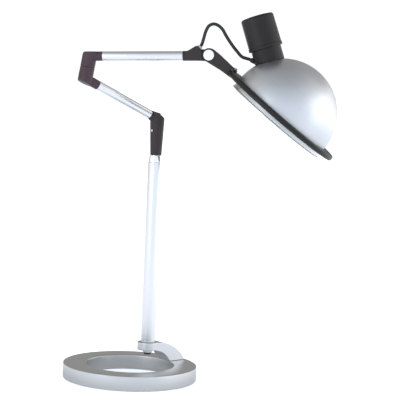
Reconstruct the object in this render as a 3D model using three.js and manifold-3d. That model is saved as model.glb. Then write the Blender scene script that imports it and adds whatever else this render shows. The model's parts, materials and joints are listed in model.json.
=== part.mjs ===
// Swing arm desk lamp: a ring base, a bracket and post, two tubular arms with an elbow, and a tilting shade.
// Millimetres, +Z up, standing on Z = 0.  +X runs to the lamp's right and +Y to its back.
import * as THREE from "three";
import { mergeVertices } from "three/addons/utils/BufferGeometryUtils.js";
import Module from "manifold-3d";

const wasm = await Module();
wasm.setup();

// ---------------------------------------------------------------- driving dimensions
const GAP = 0.3; // clearance between neighbouring pieces
const RUNNING = 0.05; // radial clearance of a shaft in its bush
const LAMP_MIDDLE = [86.6, -33.1]; // middle of the lamp seen from above, measured from the ring's centre

// Base
const RING_OUTER = 95;
const RING_INNER = 62.8;
const RING_TOP = 21;
const RING_UNDERSIDE = 0.6;
const PAD_INNER = 68;
const PAD_OUTER = 90;
const PAD_THICKNESS = 2;
const BRACKET_AZIMUTH = 38; // direction in which the bracket reaches from the post to the ring
const BRACKET_HALF_WIDTH = 14;
const BOSS_RADIUS = 15;
const BOSS_BOTTOM = 38.5;
const BOSS_TOP = 50;
const BRACKET_SCREWS_AT = [39, 52]; // distances from the post's axis
const NIPPLE_RADIUS = 4.6;

// Post
const POST_AT = [24.4, 19];
const POST_RADIUS = 10.5;
const POST_BORE = 8.5;
const COLLAR_BOTTOM = 308.9;
const COLLAR_TOP = 318.6;
const SPIGOT_RADIUS = 5;
const SPIGOT_TOP = 360;

// Lower arm
const BEND_HEIGHT = 370.4; // where the lower arm's axis meets the post's axis
const LOWER_AZIMUTH = 207;
const LOWER_SLOPE = 24.8;
const LOWER_LENGTH = 126.4; // between the post's axis and the elbow's axis
const LOWER_RIM_POST = 13.5;
const LOWER_RIM_ELBOW = 21;
const TUBE_RADIUS = 6.5;
const TUBE_BORE = 5.5;
const TONGUE_RADIUS = TUBE_BORE - GAP; // moulded tongues that hold the tubes
const TONGUE_LENGTH = 14;
const CABLE_BORE = 3.4;
const SET_SCREW_AZIMUTH = 225;
const SET_SCREW_HEIGHT = 353.6;

// Elbow
const ELBOW_LEAN = 9.6; // the elbow's axis leans over towards the post
const ELBOW_HEIGHT = 31; // between the two arms, along the elbow's axis
const ELBOW_RADIUS = 10.1;
const PIN_RADIUS = 5;

// Upper arm
const UPPER_AZIMUTH = -8.4;
const UPPER_SLOPE = 2.7;
const UPPER_LENGTH = 166.1; // from the elbow's axis to below the hinge
const UPPER_RIM_ELBOW = 18;
const UPPER_RIM_END = 130;
const HINGE_RISE = 0.8; // the hinge's axis lies this far above the arm's axis
const HINGE_BOLT_RADIUS = 3;
const KNUCKLE_RADIUS = 9.5;
const TONGUE_HALF = 3.3;
const LINK_HALF = 8;

// Head
const SHADE_CENTRE = [103.7, -74.5]; // from the hinge: outward and up
const SHADE_SLOPE = 37.9; // the rim ring's slope below the horizontal
const SHADE_RADIUS = 74.7;
const SHADE_WALL = 1.5;
const SKIRT_DEPTH = 15.4;
const BAND_OUTER = 91.6;
const BAND_DEPTH = 7.2;
const LINK_SCREW_RADIUS_AT = 87.8; // the two link screws' distance from the rim ring's axis
const LINK_SCREW_SIDE = 5;
const SOCKET_LEAN = 19; // the lampholder's axis leans back from the vertical
const SOCKET_OFFSET = 2.9;
const NECK_RADIUS = 20.6;
const CAP_RADIUS = 23;
const CAP_BOTTOM = 91;
const CAP_TOP = 137;
const HOLDER_RADIUS = 16.6;
const INLET_HEIGHT = 79.2; // where the lead enters the neck, along the lampholder's axis
const INLET_LEAN = 38; // the lead comes in from above by this angle
const LEAD_RADIUS = 2.25;

// ---------------------------------------------------------------- helpers
const rad = THREE.MathUtils.degToRad;
const shift = (x, y, z) => new THREE.Matrix4().makeTranslation(x, y, z);
const turnX = (degrees) => new THREE.Matrix4().makeRotationX(rad(degrees));
const turnY = (degrees) => new THREE.Matrix4().makeRotationY(rad(degrees));
const turnZ = (degrees) => new THREE.Matrix4().makeRotationZ(rad(degrees));
const chain = (...matrices) => matrices.reduce((all, next) => all.multiply(next), new THREE.Matrix4());

// A closed geometry as a manifold solid that faces outwards.
function solidOf(geometry) {
  const bare = new THREE.BufferGeometry();
  const flat = geometry.index ? geometry.toNonIndexed() : geometry;
  bare.setAttribute("position", flat.getAttribute("position"));
  const merged = mergeVertices(bare, 1e-3);
  const corners = merged.index.array;
  const kept = [];
  for (let i = 0; i < corners.length; i += 3) {
    const [a, b, c] = [corners[i], corners[i + 1], corners[i + 2]];
    if (a !== b && b !== c && c !== a) kept.push(a, b, c);
  }
  const build = (triVerts) =>
    new wasm.Manifold(
      new wasm.Mesh({
        numProp: 3,
        vertProperties: new Float32Array(merged.attributes.position.array),
        triVerts: new Uint32Array(triVerts),
      }),
    );
  const solid = build(kept);
  return solid.volume() < 0 ? build(kept.reverse()) : solid;
}

function geometryOf(solid) {
  const mesh = solid.getMesh();
  const geometry = new THREE.BufferGeometry();
  geometry.setAttribute("position", new THREE.BufferAttribute(new Float32Array(mesh.vertProperties), 3));
  geometry.setIndex(new THREE.BufferAttribute(new Uint32Array(mesh.triVerts), 1));
  return geometry;
}

const join = (first, ...others) =>
  geometryOf(others.reduce((all, next) => all.add(solidOf(next)), solidOf(first)));
const cut = (body, ...tools) =>
  geometryOf(tools.reduce((all, next) => all.subtract(solidOf(next)), solidOf(body)));
const common = (first, second) => geometryOf(solidOf(first).intersect(solidOf(second)));
const placed = (geometry, frame) => geometry.clone().applyMatrix4(frame);

// A profile of [radius, height] pairs turned about Z.
function turned(profile, segments = 28) {
  const points = profile.map(([r, z]) => new THREE.Vector2(r, z));
  return new THREE.LatheGeometry(points, segments).applyMatrix4(turnX(90));
}

const rod = (radius, bottom, top, segments = 28) =>
  turned([[0, bottom], [radius, bottom], [radius, top], [0, top]], segments);
const sleeve = (outer, inner, bottom, top, segments = 28) =>
  turned([[inner, bottom], [outer, bottom], [outer, top], [inner, top], [inner, bottom]], segments);
const taper = (bottomRadius, topRadius, bottom, top) =>
  turned([[0, bottom], [bottomRadius, bottom], [topRadius, top], [0, top]]);

// A closed outline of [x, y, corner radius] points, with each corner rounded by its radius.
function outline(corners) {
  const shape = new THREE.Shape();
  const count = corners.length;
  corners.forEach(([x, y, radius = 0], i) => {
    const here = new THREE.Vector2(x, y);
    const before = new THREE.Vector2(...corners[(i + count - 1) % count].slice(0, 2)).sub(here).normalize();
    const after = new THREE.Vector2(...corners[(i + 1) % count].slice(0, 2)).sub(here).normalize();
    const half = Math.acos(THREE.MathUtils.clamp(before.dot(after), -1, 1)) / 2;
    const reach = radius / Math.tan(half);
    const steps = radius > 0 ? 6 : 0;
    const from = here.clone().addScaledVector(before, reach);
    const middle = before.clone().add(after).normalize();
    const centre = here.clone().addScaledVector(middle, radius / Math.sin(half));
    const start = Math.atan2(from.y - centre.y, from.x - centre.x);
    const turnWay = Math.sign(before.y * after.x - before.x * after.y);
    const sweep = turnWay * (Math.PI - 2 * half);
    for (let step = 0; step <= steps; step++) {
      const angle = start + (steps ? (sweep * step) / steps : 0);
      const point = steps
        ? [centre.x + radius * Math.cos(angle), centre.y + radius * Math.sin(angle)]
        : [x, y];
      if (i === 0 && step === 0) shape.moveTo(...point);
      else shape.lineTo(...point);
    }
  });
  shape.closePath();
  return shape;
}

// A plate with the outline in X and Z, and its thickness along Y from -half to +half.
function plate(corners, half, bevel = 0) {
  const shape = corners instanceof THREE.Shape ? corners : outline(corners);
  const geometry = new THREE.ExtrudeGeometry(shape, {
    depth: 2 * (half - bevel),
    bevelEnabled: bevel > 0,
    bevelThickness: bevel,
    bevelSize: bevel,
    bevelOffset: -bevel,
    bevelSegments: 2,
    curveSegments: 10,
  });
  return geometry.applyMatrix4(chain(turnX(90), shift(0, 0, -(half - bevel))));
}

// The part of space on the far side of a plane through a point in the XZ plane, sloping up by the angle.
function above(x, z, degrees) {
  const size = 160;
  const box = new THREE.BoxGeometry(size, size, size).applyMatrix4(shift(0, 0, size / 2));
  return box.applyMatrix4(chain(shift(x, 0, z), turnY(-degrees)));
}

function hexagon(acrossFlats, bottom, top) {
  const corner = acrossFlats / Math.sqrt(3);
  const prism = new THREE.CylinderGeometry(corner, corner, top - bottom, 6);
  return prism.applyMatrix4(chain(shift(0, 0, (bottom + top) / 2), turnX(90)));
}

// ---------------------------------------------------------------- frames
const slope = (degrees) => [Math.cos(rad(degrees)), Math.sin(rad(degrees))];
const postFrame = shift(...POST_AT, 0);
const bracketFrame = chain(postFrame, turnZ(BRACKET_AZIMUTH));
// Bend frame: X points outward along the lower arm, seen from above.
const bendFrame = chain(shift(...POST_AT, BEND_HEIGHT), turnZ(LOWER_AZIMUTH));
const lowerArmFrame = chain(bendFrame, turnY(90 - LOWER_SLOPE));
const [lowerRun, lowerRise] = slope(LOWER_SLOPE).map((part) => part * LOWER_LENGTH);
const elbowFrame = chain(bendFrame, shift(lowerRun, 0, lowerRise));
const columnFrame = chain(elbowFrame, turnY(-ELBOW_LEAN));
const columnTop = new THREE.Vector3(0, 0, ELBOW_HEIGHT).applyMatrix4(columnFrame);
// Upper frame: X points outward along the upper arm, seen from above.
const upperFrame = chain(shift(...columnTop), turnZ(UPPER_AZIMUTH));
const upperArmFrame = chain(upperFrame, turnY(90 - UPPER_SLOPE));
const [upperRun, upperRise] = slope(UPPER_SLOPE).map((part) => part * UPPER_LENGTH);
// Hinge frame: Y runs along the hinge's axis, Z up.
const hingeFrame = chain(upperFrame, shift(upperRun, 0, upperRise + HINGE_RISE));
const acrossHinge = chain(hingeFrame, turnX(-90));
const shadeFrame = chain(hingeFrame, shift(SHADE_CENTRE[0], 0, SHADE_CENTRE[1]), turnY(SHADE_SLOPE));
const socketFrame = chain(
  hingeFrame,
  shift(SHADE_CENTRE[0], 0, SHADE_CENTRE[1]),
  turnY(-SOCKET_LEAN),
  shift(SOCKET_OFFSET, 0, 0),
);
const centring = shift(-LAMP_MIDDLE[0], -LAMP_MIDDLE[1], 0);

// ---------------------------------------------------------------- materials
function finish(color, roughness, metalness) {
  return new THREE.MeshStandardMaterial({ color, roughness, metalness });
}
const satinMetal = finish(0xc4c8cf, 0.42, 0.9);
const tubeAluminium = finish(0xd9dce0, 0.28, 0.9);
const satinAluminium = finish(0xb4b4b4, 0.4, 0.85);
const polishedSteel = finish(0xdddddd, 0.15, 1);
const plainSteel = finish(0x9a9a9c, 0.35, 1);
const brass = finish(0xb89a55, 0.35, 1);
const blackMoulding = finish(0x2f2a2c, 0.5, 0);
const blackPaint = finish(0x262324, 0.45, 0.1);
const greyPlastic = finish(0xa9a7a8, 0.5, 0);
const rubber = finish(0x1d1d1d, 0.9, 0);
const whitePlastic = finish(0xeeeeec, 0.4, 0);
const frostedGlass = finish(0xf6f4ee, 0.6, 0);

const lamp = new THREE.Group();
lamp.name = "swing_arm_desk_lamp";

function add(name, geometry, frame, material) {
  const mesh = new THREE.Mesh(placed(geometry, chain(centring, frame)), material);
  mesh.name = name;
  lamp.add(mesh);
}

// ---------------------------------------------------------------- base
const HEAD_SEAT = 7.3; // screw heads sit in counterbores hidden by the pad
const ringBody = turned(
  [
    [RING_INNER, RING_UNDERSIDE],
    [PAD_INNER - GAP, RING_UNDERSIDE],
    [PAD_INNER - GAP, PAD_THICKNESS + GAP],
    [PAD_OUTER + GAP, PAD_THICKNESS + GAP],
    [PAD_OUTER + GAP, RING_UNDERSIDE],
    [RING_OUTER - 0.6, RING_UNDERSIDE],
    [RING_OUTER, RING_UNDERSIDE + 0.6],
    [RING_OUTER, RING_TOP - 0.5],
    [RING_OUTER - 0.5, RING_TOP],
    [RING_INNER + 1.2, RING_TOP],
    [RING_INNER, RING_TOP - 1.2],
    [RING_INNER, RING_UNDERSIDE],
  ],
  72,
);
const screwFrames = BRACKET_SCREWS_AT.map((at) => chain(bracketFrame, shift(at, 0, 0)));
const screwHoles = screwFrames.flatMap((frame) => [
  placed(rod(2.4, HEAD_SEAT - 1, RING_TOP + 1, 16), frame),
  placed(rod(4.3, 0, HEAD_SEAT, 16), frame),
]);
add("base_ring", cut(ringBody, ...screwHoles), shift(0, 0, 0), satinMetal);
add("base_pad", sleeve(PAD_OUTER, PAD_INNER, 0, PAD_THICKNESS, 72), shift(0, 0, 0), rubber);

// The bracket's side view: a boss, then a quarter arch down to its foot on the ring.
const OUTER_ARCH = { x: 8, z: -10, radius: 60 };
const INNER_ARCH = { x: 1.5, z: 4.5, radius: 34 };
const FOOT = RING_TOP + GAP;
const archSide = new THREE.Shape();
const outerFootAngle = Math.asin((FOOT - OUTER_ARCH.z) / OUTER_ARCH.radius);
const innerFootAngle = Math.asin((FOOT - INNER_ARCH.z) / INNER_ARCH.radius);
archSide.moveTo(0, BOSS_BOTTOM);
archSide.absarc(INNER_ARCH.x, INNER_ARCH.z, INNER_ARCH.radius, Math.PI / 2, innerFootAngle, true);
archSide.absarc(OUTER_ARCH.x, OUTER_ARCH.z, OUTER_ARCH.radius, outerFootAngle, Math.PI / 2, false);
archSide.lineTo(0, BOSS_TOP);
archSide.closePath();
const boss = turned([
  [0, BOSS_BOTTOM],
  [BOSS_RADIUS - 0.8, BOSS_BOTTOM],
  [BOSS_RADIUS, BOSS_BOTTOM + 0.8],
  [BOSS_RADIUS, BOSS_TOP - 0.8],
  [BOSS_RADIUS - 0.8, BOSS_TOP],
  [0, BOSS_TOP],
]);
const bracketBody = join(plate(archSide, BRACKET_HALF_WIDTH, 0.8), boss);
const tappedHoles = BRACKET_SCREWS_AT.map((at) => placed(rod(2.3, FOOT - 1, FOOT + 6, 16), shift(at, 0, 0)));
const nutSeat = rod(8.2, 20, BOSS_BOTTOM);
const bracket = cut(bracketBody, rod(NIPPLE_RADIUS + GAP, 0, 80), nutSeat, ...tappedHoles);
add("base_bracket", bracket, bracketFrame, satinMetal);

const screwHead = rod(3.9, PAD_THICKNESS + 2 * GAP, HEAD_SEAT - GAP, 16);
const screw = join(rod(2, HEAD_SEAT - 2, FOOT + 5.5, 16), screwHead);
const screwSocket = hexagon(3, 0, PAD_THICKNESS + 2.6);
screwFrames.forEach((frame, i) => add(`bracket_screw_${i + 1}`, cut(screw, screwSocket), frame, plainSteel));

add("post_nipple", sleeve(NIPPLE_RADIUS, 3.5, 34.6, 68), postFrame, brass);
const nut = cut(hexagon(13, 35.2, BOSS_BOTTOM - GAP), rod(NIPPLE_RADIUS + GAP, 30, 40));
add("post_nut", nut, postFrame, plainSteel);
// Bush that lines the cable's way in at the bottom of the nipple.
const inletBush = turned([
  [2.7, 32],
  [4.6, 32],
  [5.1, 32.5],
  [5.1, 34.3],
  [3.2, 34.3],
  [3.2, 42],
  [2.7, 42],
  [2.7, 32],
]);
add("inlet_bush", inletBush, postFrame, rubber);

// ---------------------------------------------------------------- post
const postTube = sleeve(POST_RADIUS, POST_BORE, BOSS_TOP + GAP, COLLAR_BOTTOM - GAP);
add("post_tube", postTube, postFrame, tubeAluminium);
const postPlug = sleeve(POST_BORE - GAP, NIPPLE_RADIUS + GAP, BOSS_TOP + 2 * GAP, 66);
add("post_plug", postPlug, postFrame, plainSteel);
const collar = turned([
  [SPIGOT_RADIUS + GAP, 288],
  [POST_BORE - GAP, 288],
  [POST_BORE - GAP, COLLAR_BOTTOM],
  [10.3, COLLAR_BOTTOM],
  [8.7, COLLAR_TOP],
  [SPIGOT_RADIUS + GAP, COLLAR_TOP],
  [SPIGOT_RADIUS + GAP, 288],
]);
add("post_collar", collar, postFrame, polishedSteel);
const spigot = turned([
  [CABLE_BORE, 284],
  [SPIGOT_RADIUS, 284],
  [SPIGOT_RADIUS, SET_SCREW_HEIGHT - 2.2],
  [SPIGOT_RADIUS - 0.7, SET_SCREW_HEIGHT - 1.9],
  [SPIGOT_RADIUS - 0.7, SET_SCREW_HEIGHT + 1.9],
  [SPIGOT_RADIUS, SET_SCREW_HEIGHT + 2.2],
  [SPIGOT_RADIUS, SPIGOT_TOP],
  [CABLE_BORE, SPIGOT_TOP],
  [CABLE_BORE, 284],
]);
add("post_spigot", spigot, postFrame, plainSteel);

// ---------------------------------------------------------------- lower arm
const BUSH_OUTER = 6.4;
const CONNECTOR_BOTTOM = COLLAR_TOP + 0.4 - BEND_HEIGHT;
const screwLift = SET_SCREW_HEIGHT - BEND_HEIGHT;
const connectorLeg = turned([
  [0, CONNECTOR_BOTTOM],
  [7.6, CONNECTOR_BOTTOM],
  [8.1, CONNECTOR_BOTTOM + 0.5],
  [10.4, 0],
  [10.4, 30],
  [0, 30],
]);
const armInBend = turnY(90 - LOWER_SLOPE);
const connectorSocket = join(
  taper(9, TUBE_RADIUS, 0, LOWER_RIM_POST),
  rod(TONGUE_RADIUS, 0, LOWER_RIM_POST + TONGUE_LENGTH),
);
const rimTop = new THREE.Vector3(-TUBE_RADIUS, 0, LOWER_RIM_POST).applyMatrix4(armInBend);
const connectorRoof = above(rimTop.x, rimTop.z, 30);
const tubeRoom = placed(rod(TUBE_RADIUS + GAP, LOWER_RIM_POST, 40), armInBend);
const connectorBody = join(cut(connectorLeg, connectorRoof, tubeRoom), placed(connectorSocket, armInBend));
const setScrewInBend = chain(turnZ(SET_SCREW_AZIMUTH - LOWER_AZIMUTH), shift(0, 0, screwLift), turnY(90));
const connector = cut(
  connectorBody,
  rod(BUSH_OUTER + GAP, CONNECTOR_BOTTOM - 1, -20),
  rod(SPIGOT_RADIUS + GAP, -21, SPIGOT_TOP + 2 - BEND_HEIGHT),
  rod(CABLE_BORE, -12, 0),
  placed(rod(CABLE_BORE, -1, 60), armInBend),
  placed(rod(1.95, 0, 20, 16), setScrewInBend),
);
add("post_connector", connector, bendFrame, blackMoulding);
const swivelBush = sleeve(BUSH_OUTER, SPIGOT_RADIUS + RUNNING, CONNECTOR_BOTTOM + 0.4, -20.3);
add("swivel_bush", swivelBush, bendFrame, brass);
const grubScrew = cut(rod(1.65, SPIGOT_RADIUS + 0.5, 10.1, 16), hexagon(1.6, 8.3, 12));
add("connector_screw", grubScrew, chain(bendFrame, setScrewInBend), polishedSteel);

const lowerTubeEnd = LOWER_LENGTH - LOWER_RIM_ELBOW - GAP;
const lowerTube = sleeve(TUBE_RADIUS, TUBE_BORE, LOWER_RIM_POST + GAP, lowerTubeEnd);
add("lower_arm_tube", lowerTube, lowerArmFrame, tubeAluminium);

// ---------------------------------------------------------------- elbow
// Each half is a round column whose end is cut along its arm, a socket flush with the tube, and a tongue.
const SEAM = ELBOW_HEIGHT / 2;
const SEAM_HALF = 0.45;
const BUSH_TOP = 25.5;

// In a half's own frame the arm leaves towards +X.
// side is +1 where the column hangs below the arm, and -1 where it stands above it.
function elbowHalf(column, leanAngle, arm, rim, cornerRadius, side) {
  const edge = new THREE.Vector3(-side * TUBE_RADIUS, 0, 0).applyMatrix4(arm);
  const run = new THREE.Vector3(0, 0, 1).applyMatrix4(arm);
  const lean = Math.tan(rad(leanAngle));
  const back = -ELBOW_RADIUS / Math.cos(rad(leanAngle));
  // How far along the arm's outer line it meets the column's outer line.
  const meeting = (back + lean * edge.z - edge.x) / (run.x - lean * run.z);
  const corner = [edge.x + run.x * meeting, edge.z + run.z * meeting];
  const far = 60;
  const sideView = plate(
    [
      [...corner, cornerRadius],
      [corner[0] + run.x * far, corner[1] + run.z * far],
      [corner[0] + far, -side * far],
      [back - side * far * lean, -side * far],
    ],
    far / 2,
  );
  const socket = join(rod(TUBE_RADIUS, 0, rim), rod(TONGUE_RADIUS, 0, rim + TONGUE_LENGTH));
  return join(common(column, sideView), placed(socket, arm));
}

// Lower half, in a frame whose X points back to the post.
const lowerLean = turnY(ELBOW_LEAN);
const armInLowerHalf = turnY(90 + LOWER_SLOPE);
const lowerColumn = placed(rod(ELBOW_RADIUS, -30, SEAM - SEAM_HALF), lowerLean);
const elbowLower = cut(
  elbowHalf(lowerColumn, ELBOW_LEAN, armInLowerHalf, LOWER_RIM_ELBOW, 3, -1),
  placed(rod(PIN_RADIUS + GAP, 1.5, 60), lowerLean),
  placed(rod(CABLE_BORE, -2, 3), lowerLean),
  placed(rod(CABLE_BORE, 0, 60), armInLowerHalf),
);
add("elbow_lower", elbowLower, chain(elbowFrame, turnZ(180)), blackMoulding);
add("elbow_pin", sleeve(PIN_RADIUS, CABLE_BORE, 2, 28.5), columnFrame, plainSteel);
add("elbow_washer", sleeve(9.5, PIN_RADIUS + GAP, SEAM - 0.25, SEAM + 0.25), columnFrame, rubber);

// Upper half, in a frame whose X points along the upper arm.
const columnInUpper = chain(upperFrame.clone().invert(), columnFrame);
const columnAxis = new THREE.Vector3(0, 0, 1).transformDirection(columnInUpper);
const upperLean = THREE.MathUtils.radToDeg(Math.atan2(columnAxis.x, columnAxis.z));
const armInUpper = turnY(90 - UPPER_SLOPE);
const upperColumn = placed(rod(ELBOW_RADIUS, SEAM + SEAM_HALF, 60), columnInUpper);
const elbowUpper = cut(
  elbowHalf(upperColumn, upperLean, armInUpper, UPPER_RIM_ELBOW, 5, 1),
  placed(rod(BUSH_OUTER + GAP, 0, 33), columnInUpper),
  placed(rod(CABLE_BORE, 0, 60), armInUpper),
);
add("elbow_upper", elbowUpper, upperFrame, blackMoulding);
add("elbow_bush", sleeve(BUSH_OUTER, PIN_RADIUS + RUNNING, SEAM + 0.6, BUSH_TOP), columnFrame, brass);
const retainer = cut(hexagon(11, BUSH_TOP + GAP, 28.5), rod(PIN_RADIUS + 0.1, 20, 32));
add("elbow_retainer", retainer, columnFrame, plainSteel);

// ---------------------------------------------------------------- upper arm
const upperTube = sleeve(TUBE_RADIUS, TUBE_BORE, UPPER_RIM_ELBOW + GAP, UPPER_RIM_END - GAP);
add("upper_arm_tube", upperTube, upperArmFrame, tubeAluminium);

// End connector, in the hinge frame: round socket, a hump that the lead leaves from, and the hinge's tongue.
const armInHinge = chain(shift(-upperRun, 0, -upperRise - HINGE_RISE), turnY(90 - UPPER_SLOPE));
const endSocket = join(
  rod(6.8, UPPER_RIM_END, UPPER_RIM_END + 16),
  rod(TONGUE_RADIUS, UPPER_RIM_END - TONGUE_LENGTH, UPPER_RIM_END + 1),
);
const humpSide = [
  [-31, -8.6, 3],
  [-5, -8.2, 0],
  [-5, 3, 0],
  [-9.6, 3.4, 0.8],
  [-15.6, 12.4, 2],
  [-19, 11.6, 2.5],
  [-29.8, 4.6, 2],
  [-33, 4.4, 0],
];
const CHEEK_CLEARANCE = KNUCKLE_RADIUS + 0.5;
const alongY = turnX(-90);
const humpBlock = cut(plate(humpSide, 7.4, 1.6), placed(rod(CHEEK_CLEARANCE, -30, 30), alongY));
const tongue = join(
  plate([[-20, -7.6, 0], [0, -7.6, 0], [0, 7.6, 0], [-13, 7.6, 0], [-20, 3, 0]], TONGUE_HALF),
  placed(rod(KNUCKLE_RADIUS - 0.9, -TONGUE_HALF, TONGUE_HALF), alongY),
);
const GLAND_AT = [-14.2, 9.7];
const GLAND_LEAN = 34; // the lead leaves leaning over towards the shade
const glandInHinge = chain(shift(GLAND_AT[0], 0, GLAND_AT[1]), turnY(GLAND_LEAN));
const endConnector = cut(
  join(humpBlock, tongue, placed(endSocket, armInHinge)),
  placed(rod(CABLE_BORE, UPPER_RIM_END - 20, UPPER_RIM_END + 18), armInHinge),
  placed(rod(3.6, -4, 10, 32), glandInHinge),
  placed(rod(CABLE_BORE - 0.6, -12, 0, 32), glandInHinge),
  placed(rod(HINGE_BOLT_RADIUS + RUNNING, -20, 20), alongY),
);
add("end_connector", endConnector, hingeFrame, blackMoulding);
const GLAND_FACE = 2.6;
const gland = turned(
  [
    [2.6, -3.6],
    [3.3, -3.6],
    [3.3, GLAND_FACE - 0.4],
    [3.0, GLAND_FACE],
    [2.6, GLAND_FACE],
    [2.6, -3.6],
  ],
  32,
);
add("lead_gland", gland, chain(hingeFrame, glandInHinge), greyPlastic);

// ---------------------------------------------------------------- head hinge and link
const linkOutline = [
  [6.2, 7.4, 0],
  [13.6, 2.0, 3],
  [35.2, -16.6, 1.5],
  [38.0, -21.8, 0],
  [32.6, -30.6, 2],
  [17.2, -20.2, 0],
  [-5.2, -7.9, 0],
];
const knuckle = placed(rod(KNUCKLE_RADIUS, -LINK_HALF, LINK_HALF), alongY);
const bandInHinge = chain(shift(SHADE_CENTRE[0], 0, SHADE_CENTRE[1]), turnY(SHADE_SLOPE));
const ringClearance = placed(sleeve(BAND_OUTER + GAP, 60, -BAND_DEPTH - GAP, GAP, 72), bandInHinge);
// The link's end plate lies on the band, held by two screws.
const padOutline = [
  [-BAND_OUTER - 3, GAP, 0],
  [-BAND_OUTER + 8, GAP, 0],
  [-BAND_OUTER + 6.8, 3.6, 1.2],
  [-BAND_OUTER - 3, 3.2, 0],
];
const endPlate = placed(plate(padOutline, LINK_HALF), bandInHinge);
const linkScrewPlaces = [-1, 1].map((side) => shift(-LINK_SCREW_RADIUS_AT, side * LINK_SCREW_SIDE, 0));
const linkHoles = linkScrewPlaces.map((place) => placed(rod(1.7, -20, 20, 16), chain(bandInHinge, place)));
const slot = join(
  placed(rod(KNUCKLE_RADIUS + 0.3, -TONGUE_HALF - 0.5, TONGUE_HALF + 0.5), alongY),
  plate([[-20, -13, 0], [-4, -13, 0], [-4, 9.6, 0], [-20, 9.6, 0]], TONGUE_HALF + 0.5),
);
const link = cut(
  join(plate(linkOutline, LINK_HALF, 1), knuckle, endPlate),
  ringClearance,
  slot,
  placed(rod(HINGE_BOLT_RADIUS + GAP, -20, 20), alongY),
  ...linkHoles,
);
add("head_link", link, hingeFrame, blackMoulding);

const WASHER_OUTER = 8;
const washer = sleeve(WASHER_OUTER, HINGE_BOLT_RADIUS + GAP, TONGUE_HALF + 0.1, TONGUE_HALF + 0.4);
add("hinge_washer_front", washer, chain(hingeFrame, turnX(90)), greyPlastic);
add("hinge_washer_back", washer, acrossHinge, greyPlastic);
add("hinge_bolt", rod(HINGE_BOLT_RADIUS, -LINK_HALF - 0.5, LINK_HALF + 0.5), acrossHinge, plainSteel);
const disc = turned([
  [0, LINK_HALF + 0.8],
  [7.3, LINK_HALF + 0.8],
  [7.3, LINK_HALF + 1.6],
  [6.8, LINK_HALF + 2.1],
  [0, LINK_HALF + 2.3],
]);
add("hinge_disc_front", disc, chain(hingeFrame, turnX(90)), polishedSteel);
add("hinge_disc_back", disc, acrossHinge, polishedSteel);

// ---------------------------------------------------------------- shade
const SHADE_STEPS = 9;
const BEAD_RADIUS = 1.1;
const domeArc = (radius, from, to) =>
  Array.from({ length: SHADE_STEPS + 1 }, (_, i) => {
    const angle = from + ((to - from) * i) / SHADE_STEPS;
    return [radius * Math.cos(angle), radius * Math.sin(angle)];
  });
const innerRadius = SHADE_RADIUS - SHADE_WALL;
const domeProfile = [
  ...domeArc(SHADE_RADIUS, 0, Math.PI / 2).slice(0, -1),
  [0, SHADE_RADIUS],
  [0, innerRadius],
  ...domeArc(innerRadius, Math.PI / 2, 0).slice(1),
  [innerRadius, -SKIRT_DEPTH],
  [SHADE_RADIUS + BEAD_RADIUS, -SKIRT_DEPTH],
  [SHADE_RADIUS + BEAD_RADIUS, -SKIRT_DEPTH + 2 * BEAD_RADIUS],
  [SHADE_RADIUS, -SKIRT_DEPTH + 3 * BEAD_RADIUS],
  [SHADE_RADIUS, 0],
];
const NECK_HOLE = NECK_RADIUS - 3;
const socketInShade = chain(shadeFrame.clone().invert(), socketFrame);
const neckHole = placed(rod(NECK_HOLE, 20, 120), socketInShade);
add("shade_dome", cut(turned(domeProfile, 72), neckHole), shadeFrame, satinAluminium);

const bandHoles = linkScrewPlaces.map((place) => placed(rod(1.4, -6, 5, 16), place));
const band = turned(
  [
    [SHADE_RADIUS + GAP, -BAND_DEPTH],
    [BAND_OUTER - 1.2, -BAND_DEPTH],
    [BAND_OUTER, -BAND_DEPTH + 1.2],
    [BAND_OUTER, -1.2],
    [BAND_OUTER - 1.2, 0],
    [SHADE_RADIUS + GAP, 0],
    [SHADE_RADIUS + GAP, -BAND_DEPTH],
  ],
  72,
);
add("rim_band", cut(band, ...bandHoles), shadeFrame, blackPaint);
const linkScrew = join(rod(1.1, -5, 5, 16), rod(2.4, 3.9, 5.4, 16));
linkScrewPlaces.forEach((place, i) => {
  add(`link_screw_${i + 1}`, linkScrew, chain(shadeFrame, place), plainSteel);
});

// ---------------------------------------------------------------- lampholder housing
const NECK_TOP = CAP_BOTTOM + 6;
const sphere = (radius) => new THREE.SphereGeometry(radius, 48, 32);
const domeSphere = placed(sphere(SHADE_RADIUS + GAP), shift(-SOCKET_OFFSET, 0, 0));
const neckBody = cut(rod(NECK_RADIUS, 60, NECK_TOP), domeSphere);
const inletFrame = chain(shift(-NECK_RADIUS, 0, INLET_HEIGHT), turnY(INLET_LEAN - 90));
const holderRoom = rod(HOLDER_RADIUS + GAP, 40, NECK_TOP + 1);
const neck = cut(neckBody, holderRoom, placed(rod(3.4, -7, 10, 32), inletFrame));
add("socket_neck", neck, socketFrame, blackMoulding);
const cap = turned(
  [
    [NECK_RADIUS + GAP, CAP_BOTTOM],
    [CAP_RADIUS + 0.5, CAP_BOTTOM],
    [CAP_RADIUS + 0.5, CAP_BOTTOM + 3.6],
    [CAP_RADIUS, CAP_BOTTOM + 4.2],
    [CAP_RADIUS - 0.4, CAP_TOP - 5],
    [CAP_RADIUS - 1.2, CAP_TOP - 2.6],
    [CAP_RADIUS - 3.2, CAP_TOP - 0.9],
    [CAP_RADIUS - 7, CAP_TOP - 0.2],
    [0, CAP_TOP],
    [0, CAP_TOP - 2.5],
    [CAP_RADIUS - 5, CAP_TOP - 3],
    [CAP_RADIUS - 2.4, CAP_TOP - 6],
    [NECK_RADIUS + GAP, NECK_TOP + 0.6],
    [NECK_RADIUS + GAP, CAP_BOTTOM],
  ],
  40,
);
add("socket_cap", cap, socketFrame, blackMoulding);
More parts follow.
